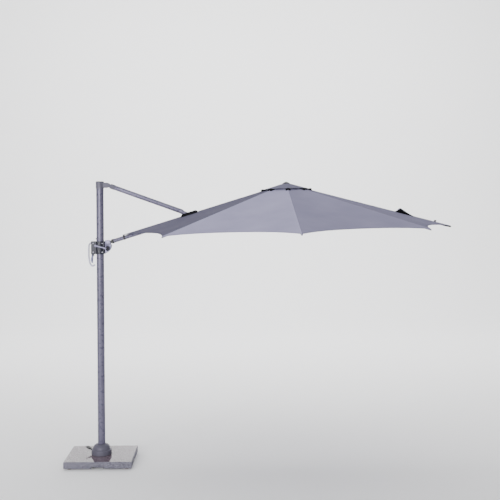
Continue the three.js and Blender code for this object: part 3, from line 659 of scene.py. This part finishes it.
def vent_height(radius, off_rib):
    """The height of the vent's cap: nearly flat at the rim and rising to a point, slack between its ribs."""
    u = radius / VENT_RIM
    rise = VENT_LIFT - (VENT_DROP + VENT_LIFT) * (1 - (1 - u) ** 1.45) * (0.55 + 0.45 * u)
    slack = math.sin(math.pi * min(1.0, abs(off_rib) / (PANEL / 2)) / 2)
    return rise - VENT_SLACK * u * slack


def vent_cap():
    """The small eight-sided cap over the vent."""
    columns = [(-0.5 + i / VENT_COLUMNS) * PANEL for i in range(VENT_COLUMNS * SIDES)]
    hole = VENT_HOLE / VENT_RIM
    rows = [hole + (1 - hole) * i / VENT_ROWS for i in range(VENT_ROWS + 1)]
    top = []
    for share in rows:
        line = []
        for bearing in columns:
            off = (bearing + PANEL / 2) % PANEL - PANEL / 2
            rim = VENT_RIM * math.cos(PANEL / 2) / math.cos(PANEL / 2 - abs(off))
            curve = 1 - VENT_SCALLOP * (1 - (abs(off) / (PANEL / 2) - 1) ** 2) * share
            radius = rim * share * curve
            line.append((radius * math.cos(bearing), radius * math.sin(bearing), vent_height(radius, off)))
        top.append(line)
    bm = shell(top, lowered(top, CLOTH), wrap=True)
    cap = piece("vent_cap_cloth", bm, HUB, CANOPY_CLOTH, "hub", ["vent_cap"], 50)
    back = HUB.inverted()
    threads = cap.data.uv_layers.new(name="Cloth")
    hems = cap.data.uv_layers.new(name="Hem")
    # The cap's painted shade.
    painted_shades = cap.data.attributes.new("painted_panel_shade", "FLOAT", "FACE")
    painted_shades.data.foreach_set("value", [CAP_PAINTED_SHADE] * len(cap.data.polygons))
    for loop in cap.data.loops:
        x, y, _ = back @ cap.data.vertices[loop.vertex_index].co
        radius, bearing = math.hypot(x, y), math.atan2(y, x)
        threads.data[loop.index].uv = (x, y)
        hems.data[loop.index].uv = (radius * bearing, VENT_RIM * VENT_HEM - radius)


# ---------------------------------------------------------------- details on the canopy

STRAP_FOLD = (0.952, 1.006, 1.118)  # where the folded strap on the far rib starts, peaks and ends
STRAP_FOLD_HEIGHT = 0.041
STRAP_FOLD_SPREAD = 0.036  # the height falls to nothing at this distance from the rib
STRAP = 0.0011
FAR_FROM_HEM = 1.0


def plain_maps(mesh, place, tone=1.0):
    """Thread maps for a small sewn piece, which has no hem of its own, and tone, its painted shade."""
    back = place.inverted()
    threads = mesh.uv_layers.new(name="Cloth")
    hems = mesh.uv_layers.new(name="Hem")
    painted_shades = mesh.attributes.new("painted_panel_shade", "FLOAT", "FACE")
    painted_shades.data.foreach_set("value", [tone] * len(mesh.polygons))
    for loop in mesh.loops:
        x, y, _ = back @ mesh.vertices[loop.vertex_index].co
        threads.data[loop.index].uv = (x, y)
        hems.data[loop.index].uv = (x, FAR_FROM_HEM)


def strut_patch():
    """The black reinforcement sewn round the opening for the strut, swollen into walls at its two sides."""
    place = sector(BEAM_SIDE)
    border, longer_to_mast = 0.02, 0.014
    thick, wall, rim_width = 0.0042, 0.018, 0.004
    steps_x, steps_y = 40, 24
    x0, x1 = SADDLE_REACH[0] - border, SADDLE_REACH[1] + border + longer_to_mast
    wide = SADDLE_HALF_WIDTH + border
    xs = [x0 + (x1 - x0) * i / steps_x for i in range(steps_x + 1)]
    ys = [-wide + 2 * wide * j / steps_y for j in range(steps_y + 1)]

    def lift(x, y):
        rim = min(x - x0, x1 - x, y + wide, wide - y) / rim_width
        from_end = min(x - x0, x1 - x) / border
        beside = wall if abs(y) >= SADDLE_HALF_WIDTH else 0.0
        swell = min(1.0, max(0.0, from_end)) ** 0.5 * beside
        return 0.0012 + (thick + swell) * math.sqrt(min(1.0, max(0.0, rim)))

    top = [[(x, y, cloth_height(x, y) + lift(x, y)) for y in ys] for x in xs]
    under = [[(x, y, cloth_height(x, y) + 0.0002) for y in ys] for x in xs]

    def kept(i, j):
        x, y = (xs[i] + xs[i + 1]) / 2, (ys[j] + ys[j + 1]) / 2
        return not (SADDLE_REACH[0] < x < SADDLE_REACH[1] and abs(y) < SADDLE_HALF_WIDTH)

    patch = piece("strut_patch", shell(top, under, kept), place, BLACK_WEBBING, "beam")
    plain_maps(patch.data, place)


def strap_fold():
    """A black strap folded up into a low tent on the far rib, with a strip of canopy cloth over it."""
    place = sector(0)
    start, peak, end = STRAP_FOLD

    def height(x):
        t = (x - start) / (peak - start) if x < peak else (end - x) / (end - peak)
        return STRAP_FOLD_HEIGHT * (t * t * (3 - 2 * t) if x < peak else t ** 1.25)

    def tent(name, half, lift, material):
        xs = [start + (end - start) * i / 36 for i in range(37)]
        ys = [half * (j / 6 - 1) for j in range(13)]
        top = []
        for x in xs:
            across = [(y, 1 - (y / STRAP_FOLD_SPREAD) ** 2) for y in ys]
            top.append([(x, y, cloth_height(x, y) + lift + height(x) * share) for y, share in across])
        bm = shell(top, lowered(top, STRAP))
        made = piece(name, bm, place, material, rib_body(0), (), 60)
        # Both layers are drawn at 0.6 of their colour through the painted shade.
        plain_maps(made.data, place, 0.6)

    tent("strap_fold_black", 0.034, 0.0012, BLACK_WEBBING)
    tent("strap_fold_cloth", 0.011, 0.0024, CANOPY_CLOTH)


def tip_pocket(side):
    """The pocket under the cloth's corner for the tip of a rib, black and larger on ribs 0 and 1."""
    place = sector(side)
    if side in (0, 1):
        length, wide, deep = 0.12, 0.021, 0.0125
        material, slot, tone = BLACK_WEBBING, "black_plastic", 1.0
    else:
        length, wide, deep = 0.08, 0.013, 0.0085
        # The cloth pockets are drawn at half their colour, a painted shade under the corner.
        material, slot, tone = CANOPY_CLOTH, "canopy_fabric", 0.5
    swell, gap = 0.003, 0.0002
    xs = [CORNER - length + (length - 0.001) * i / 10 for i in range(11)]
    ys = [j / 4 - 1 for j in range(9)]
    top, under = [], []
    for i, x in enumerate(xs):
        half = wide - 0.45 * wide * (i / 10) ** 2
        depth = deep + swell * math.sin(math.pi * i / 10)
        top.append([(x, y * half, cloth_height(x, y * half) - CLOTH - gap) for y in ys])
        bottom = cloth_height(x, 0) - CLOTH
        under.append([(x, y * half, bottom - depth * (1 - 0.5 * y ** 4)) for y in ys])
    bm = shell(top, under)
    pocket = piece(f"tip_pocket_{side}", bm, place, material, rib_body(side), (), 60)
    plain_maps(pocket.data, place, tone)


def vent_tab(side):
    """The black tab that holds the rim of the vent's cap down on the canopy, over one rib."""
    place = sector(side)
    start, length, half_width = 0.168, 0.054, 0.02
    under_cap, over_rim, fall, droop = 0.0028, 0.004, 0.2, 0.005
    xs = [start + length * i / 9 for i in range(10)]
    ys = [half_width * (j / 4 - 1) for j in range(9)]
    top = []
    for x in xs:
        beyond = max(0.0, x - VENT_RIM)
        middle = vent_height(min(x, VENT_RIM), 0) + (over_rim - fall * beyond if beyond else -under_cap)
        top.append([(x, y, middle - droop * abs(y) / half_width) for y in ys])
    under = [[(x, y, cloth_height(x, y) + 0.0019) for y in ys] for x in xs]
    bm = shell(top, under)
    tab = piece(f"vent_tab_{side}", bm, place, BLACK_WEBBING, rib_body(side))
    plain_maps(tab.data, place)


def rib_loop():
    """A small loop that stands on the cloth near the end of the far rib."""
    middle, half_length, half_width, tall = 1.309, 0.01, 0.008, 0.015
    foot = cloth_height(middle, 0)
    loop = block(
        middle - half_length, middle + half_length, -half_width, half_width, foot + 0.001, foot + tall, 0.004
    )
    piece("rib_loop", loop, sector(0), MATT_BLACK, rib_body(0))


def corner_clip():
    """The ring with a lug that holds the cloth's corner to the beam."""
    start, end = 0.142, 0.158
    inside, outside = 0.0173, 0.0188
    profile = [(inside, start), (outside, start), (outside, end), (inside, end), (inside, start)]
    clip = lathe(softened(profile, 0.0006))
    clip.transform(Matrix.Rotation(math.pi / 2, 4, "Y"))
    add_to(clip, block(start + 0.001, end - 0.001, -0.006, 0.006, 0.0175, 0.0265, 0.002))
    piece("corner_clip", clip, BEAM, MATT_BLACK, "beam")


def finial_cap():
    """The turned cap over the middle of the vent's cap, with its stem."""
    stem, rim, foot = 0.006, 0.034, 0.0006
    profile = [(0, -0.04), (stem, -0.04), (stem, foot), (0.033, foot), (rim, 0.0022), (0.03, 0.0052),
               (0.016, 0.0128), (0.008, 0.0167), (0.003, 0.0179), (0, 0.018)]
    piece("finial_cap", lathe(profile), HUB, MATT_BLACK, "hub", ["finial"])


def small_parts():
    """Tip pockets, the vent's tabs, the far rib's loop, the clip on the beam and the finial's cap."""
    for side in range(SIDES):
        if side != BEAM_SIDE:
            tip_pocket(side)
        vent_tab(side)
    rib_loop()
    corner_clip()
    finial_cap()


# ---------------------------------------------------------------- strut, crank, bracket and grip


def strut_ends():
    """The sleeve at the strut's head and the rounded knuckle at its foot."""
    sleeve = loft([(0.0215, 0.0105, 0.0165, 0), (0.0235, 0.0128, 0.0196, 0), (0.036, 0.0138, 0.0214, 0),
                   (0.064, 0.0143, 0.0218, 0), (0.0665, 0.0133, 0.0202, 0)], 2.2)
    piece("strut_sleeve", sleeve, STRUT, DARK_CASTING, "strut")
    eye, half_width, reach = 0.0115, 0.0127, 0.748
    body = [(0.668, 0.0118, 0.0188, 0), (0.6692, 0.014, 0.0208, 0), (0.682, 0.0144, 0.0208, 0),
            (0.688, 0.014, 0.0198, -0.0012), (0.702, 0.0132, 0.0178, -0.0048),
            (0.716, 0.0128, 0.0162, -0.0048), (0.732, half_width, 0.0136, -0.0024)]
    turns = [math.pi / 2 * i / 8 for i in range(8)]
    nose = [(reach + eye * math.sin(a), half_width, eye * math.cos(a), 0) for a in turns]
    knuckle = loft(body + nose, 3.4)
    piece("strut_knuckle_cast", knuckle, STRUT, ANTHRACITE, "strut", ["strut_knuckle"])


CRANK_PIVOT = (-0.033, 0, 1.909)
CRANK_TURN = math.radians(14)
CRANK_REACH = 0.09  # from the shaft to the knob's pin
CRANK_FRONT = 0.063  # from the mast's middle plane to the arm


def crank():
    """The tapered crank with its shaft, and the turned knob at its end."""
    place = Matrix.Translation(CRANK_PIVOT) @ Matrix.Rotation(CRANK_TURN, 4, "Y")
    to_front = Matrix.Rotation(math.pi / 2, 4, "X")
    at_knob = Matrix.Translation((CRANK_REACH, 0, 0)) @ to_front
    arm = loft([(-0.0085, 0.0016, 0.002, 0), (-0.006, 0.0028, 0.0062, 0), (0, 0.0032, 0.0085, 0),
                (0.02, 0.003, 0.0068, 0), (0.07, 0.003, 0.0058, 0), (CRANK_REACH, 0.003, 0.0075, 0),
                (0.095, 0.0026, 0.0056, 0), (0.0975, 0.0016, 0.002, 0)], 2.8)
    arm.transform(Matrix.Translation((0, -CRANK_FRONT, 0)))
    shaft, boss = 0.005, 0.011
    shaft_outline = [(0, 0.037), (shaft, 0.037), (shaft, 0.053), (boss, 0.0535), (boss, 0.0655),
                     (0.007, 0.0685), (0, 0.0685)]
    turned = lathe(softened(shaft_outline, 0.001))
    turned.transform(to_front)
    pin = lathe([(0, 0.06), (0.003, 0.06), (0.003, 0.09), (0, 0.09)], 24)
    pin.transform(at_knob)
    add_to(arm, turned)
    add_to(arm, pin)
    piece("crank_arm_cast", arm, place, SILVER_CASTING, "crank", ["crank_arm"])

    bore, near_end, blind_end = 0.0035, 0.0663, 0.0925
    outside = [(bore, near_end), (0.008, near_end), (0.01, 0.073), (0.0085, 0.081), (0.01, 0.091),
               (0.007, 0.099), (0, 0.099)]
    inside = [(0, blind_end), (bore, blind_end), (bore, near_end)]
    knob = lathe(softened(outside, 0.002) + inside)
    knob.transform(at_knob)
    piece("crank_knob_turned", knob, place, SILVER_CASTING, "knob", ["crank_knob"])


CHEEK_HEART = Vector((0.069, 1.884))  # (x, z) of the middle of the hollow in each cheek of the bracket
CHEEK_INNER, CHEEK_OUTER, CHEEK_FLOOR = 0.0156, 0.022, 0.0178
HOLLOW_RIM = (0.0185, 0.0235)
HOLLOW_FLOOR = (0.0172, 0.0222)
SHADE_FROM, SHADE_TO = 0.0165, 0.0214  # the faces of a cheek in the hollow, which get a painted shade
SHADE_REACH = (0.0182, 0.0232)
BRACKET_BACK, BRACKET_BOTTOM, BRACKET_TOP = 0.0433, 1.843, 1.956
PLATE_FRONT, PLATE_HALF_WIDTH, PLATE_INSET, PLATE_BEVEL = 0.0483, 0.0219, 0.0002, 0.0008
BOSS_CENTRE = (0.068, 1.934)
BOSS_RADIUS = 0.024


def bracket():
    """The cast bracket of the beam's root: two cheeks, each sunk in its middle with a painted shade in the
    hollow, on a back plate.
    """
    outline = [Vector(p) for p in bracket_outline()]
    turns = [2 * math.pi * i / 120 for i in range(120)]

    def ring(y, shrink, hollow=None):
        points = []
        for turn in turns:
            way = Vector((math.cos(turn), math.sin(turn)))
            reach = outline_reach(outline, CHEEK_HEART, way) - shrink
            if hollow is not None:
                low = (abs(way.x / hollow[0]) ** 3 + abs(way.y / hollow[1]) ** 3) ** (-1 / 3)
                reach = min(low, reach)
            points.append((CHEEK_HEART.x + way.x * reach, y, CHEEK_HEART.y + way.y * reach))
        return points

    middle = (0.0005, 0.0005)
    steps = [
        (CHEEK_INNER, 0.0, middle), (CHEEK_INNER, 0.0006, None), (0.0162, 0.0, None),
        (0.0212, 0.0, None), (0.0218, 0.0004, None), (CHEEK_OUTER, 0.0011, None),
        (CHEEK_OUTER, 0.003, HOLLOW_RIM), (0.0215, 0.003, HOLLOW_FLOOR),
        (CHEEK_FLOOR, 0.003, HOLLOW_FLOOR), (CHEEK_FLOOR, 0.003, middle),
    ]
    whole = skin([ring(-y, shrink, hollow) for y, shrink, hollow in steps])
    add_to(whole, skin([ring(y, shrink, hollow) for y, shrink, hollow in steps]))
    bottom, top = BRACKET_BOTTOM + PLATE_INSET, BRACKET_TOP - PLATE_INSET
    plate = block(BRACKET_BACK, PLATE_FRONT, -PLATE_HALF_WIDTH, PLATE_HALF_WIDTH, bottom, top, PLATE_BEVEL)
    add_to(whole, plate)
    name, replaced = "pivot_bracket_cast", ["pivot_bracket"]
    made = piece(name, whole, Matrix(), SILVER_CASTING, "carriage", replaced)
    # The faces in the cheeks' hollows get the painted shade.
    made.data.materials.append(PAINTED_RECESS_SHADE)
    for face in made.data.polygons:
        x, y, z = face.center
        sunk = SHADE_FROM < abs(y) < SHADE_TO
        near = abs(x - CHEEK_HEART.x) < SHADE_REACH[0] and abs(z - CHEEK_HEART.y) < SHADE_REACH[1]
        face.material_index = 1 if sunk and near else 0


def bracket_outline():
    """(x, z) points round a cheek: a swept front edge, and a boss round the beam's pivot."""
    bends = [Vector(p) for p in ((0.058, 1.846), (0.082, 1.862), (0.1, 1.884), (0.101, 1.914))]
    curve = []
    for i in range(17):
        t = i / 16
        shares = ((1 - t) ** 3, 3 * t * (1 - t) ** 2, 3 * t * t * (1 - t), t ** 3)
        curve.append(tuple(sum((b * w for b, w in zip(bends, shares)), Vector((0, 0)))))
    start, end = -0.3, math.pi / 2
    turns = [start + (end - start) * i / 14 for i in range(15)]
    x, z = BOSS_CENTRE
    boss = [(x + BOSS_RADIUS * math.cos(a), z + BOSS_RADIUS * math.sin(a)) for a in turns]
    return [(BRACKET_BACK, BRACKET_BOTTOM)] + curve + [(0.091, 1.926)] + boss + [(BRACKET_BACK, BRACKET_TOP)]


def outline_reach(outline, heart, way):
    """How far the outline is from the heart in that direction."""
    reach = 0.0
    for a, b in zip(outline, outline[1:] + outline[:1]):
        edge = b - a
        across = way.x * edge.y - way.y * edge.x
        if abs(across) < 1e-12:
            continue
        to_a = a - heart
        along = (to_a.x * edge.y - to_a.y * edge.x) / across
        share = (to_a.x * way.y - to_a.y * way.x) / across
        if along > 0 and -1e-9 <= share <= 1 + 1e-9:
            reach = max(reach, along)
    return reach


GRIP_ROUTE = [(-0.0772, 1.93), (-0.086, 1.929), (-0.098, 1.908), (-0.1, 1.85), (-0.098, 1.795),
              (-0.088, 1.75), (-0.068, 1.731), (-0.046, 1.741)]  # (x, z) from the top to the hook
GRIP_HALF_DEPTH = 0.007
GRIP_HALF_WIDTH = 0.01
GRIP_ENDS = (0.55, 0.86, 0.97)  # how thick its first rings are, as shares of the full section


def smooth_route(route, steps=8):
    """A curve through the points of the route."""
    points = [Vector(p) for p in route]
    points = [points[0] * 2 - points[1]] + points + [points[-1] * 2 - points[-2]]
    path = []
    for a, b, c, d in zip(points, points[1:], points[2:], points[3:]):
        for i in range(steps):
            t = i / steps
            path.append(0.5 * (2 * b + (c - a) * t + (2 * a - 5 * b + 4 * c - d) * t * t
                               + (3 * b - a - 3 * c + d) * t ** 3))
    path.append(points[-2])
    return path


def grip():
    """The hand's bar behind the mast: a smooth oval swept down and hooked forward."""
    path = smooth_route(GRIP_ROUTE)
    turns = [2 * math.pi * j / 24 for j in range(24)]
    rings = []
    for i, at in enumerate(path):
        along = (path[min(i + 1, len(path) - 1)] - path[max(i - 1, 0)]).normalized()
        from_end = min(i, len(path) - 1 - i)
        swell = GRIP_ENDS[from_end] if from_end < len(GRIP_ENDS) else 1.0
        ring = []
        for turn in turns:
            out = GRIP_HALF_DEPTH * swell * math.cos(turn)
            side = GRIP_HALF_WIDTH * swell * math.sin(turn)
            ring.append((at.x - along.y * out, side, at.y + along.x * out))
        rings.append(ring)
    bm = skin(rings)
    piece("grip_handle_drawn", bm, Matrix(), POLISHED, "carriage", ["grip_handle"])


# ---------------------------------------------------------------- studio


def floor_and_wall():
    """A pale floor that turns up into the wall behind."""
    half_width, front, depth, bend, height = 50.0, -50.0, 9.0, 3.0, 9.0
    turns = [math.pi / 2 * i / 16 for i in range(1, 17)]
    line = [(front, 0.0), (depth, 0.0)]
    line += [(depth + bend * math.sin(a), bend - bend * math.cos(a)) for a in turns]
    line.append((depth + bend, height))
    bm = bmesh.new()
    rows = [[bm.verts.new((x, y, z)) for x in (-half_width, half_width)] for y, z in line]
    for low, high in zip(rows, rows[1:]):
        bm.faces.new((low[0], low[1], high[1], high[0]))
    mesh = bpy.data.meshes.new("backdrop")
    bm.to_mesh(mesh)
    bm.free()
    smooth_below(mesh, 60)
    paper = Shader("backdrop_paper")
    speck = paper.noise(paper.place(), 30, 2)
    white = paper.mix(speck, (0.93, 0.93, 0.935, 1), (0.95, 0.95, 0.95, 1))
    mesh.materials.append(paper.finish(white, 0.9, paper.bump(speck, 0.0002, 0.2)))
    backdrop = bpy.data.objects.new("backdrop", mesh)
    bpy.context.scene.collection.objects.link(backdrop)


def sky():
    """Even light from all round, a little cool."""
    world = bpy.data.worlds.new("studio")
    world.use_nodes = True
    background = world.node_tree.nodes["Background"].inputs
    background["Color"].default_value = (0.96, 0.97, 1.0, 1)
    background["Strength"].default_value = 0.62
    bpy.context.scene.world = world


def camera():
    """The photograph's view: nearly level, just above the canopy's edge, and almost square to the beam."""
    looks_down, turned_to_tip = math.radians(2.33), math.radians(1.6)
    made = bpy.data.objects.new("camera", bpy.data.cameras.new("camera"))
    bpy.context.scene.collection.objects.link(made)
    made.data.lens = 61.2
    made.location = (1.102, -7.466, 2.173)
    made.rotation_euler = (math.pi / 2 - looks_down, 0, -turned_to_tip)
    bpy.context.scene.camera = made


def studio():
    """The backdrop, soft lights, and the camera."""
    floor_and_wall()
    sky()
    soft_light("key", (-1.0, -9.5, 2.9), (1.4, 0, 2.0), 5.0, 2.6, 560)
    soft_light("strip", (-3.6, -5.6, 2.2), (0.0, 0, 1.7), 0.45, 4.4, 230)
    soft_light("top", (2.0, 0.0, 7.0), (1.6, 0, 2.0), 6.0, 6.0, 150)
    soft_light("wall", (1.5, 5.0, 8.0), (1.5, 10.5, 2.0), 14.0, 3.0, 1750)
    camera()


def soft_light(name, place, target, width, height, power):
    """A rectangular lamp that faces the target."""
    light = bpy.data.lights.new(name, "AREA")
    light.shape = "RECTANGLE"
    light.size, light.size_y = width, height
    light.energy = power
    made = bpy.data.objects.new(name, light)
    made.location = place
    made.rotation_euler = (Vector(target) - Vector(place)).to_track_quat("-Z", "Y").to_euler()
    bpy.context.scene.collection.objects.link(made)


dress_cad_nodes()
rounded_copies()
build_canopy()
vent_cap()
strut_patch()
strap_fold()
small_parts()
strut_ends()
crank()
bracket()
grip()
studio()
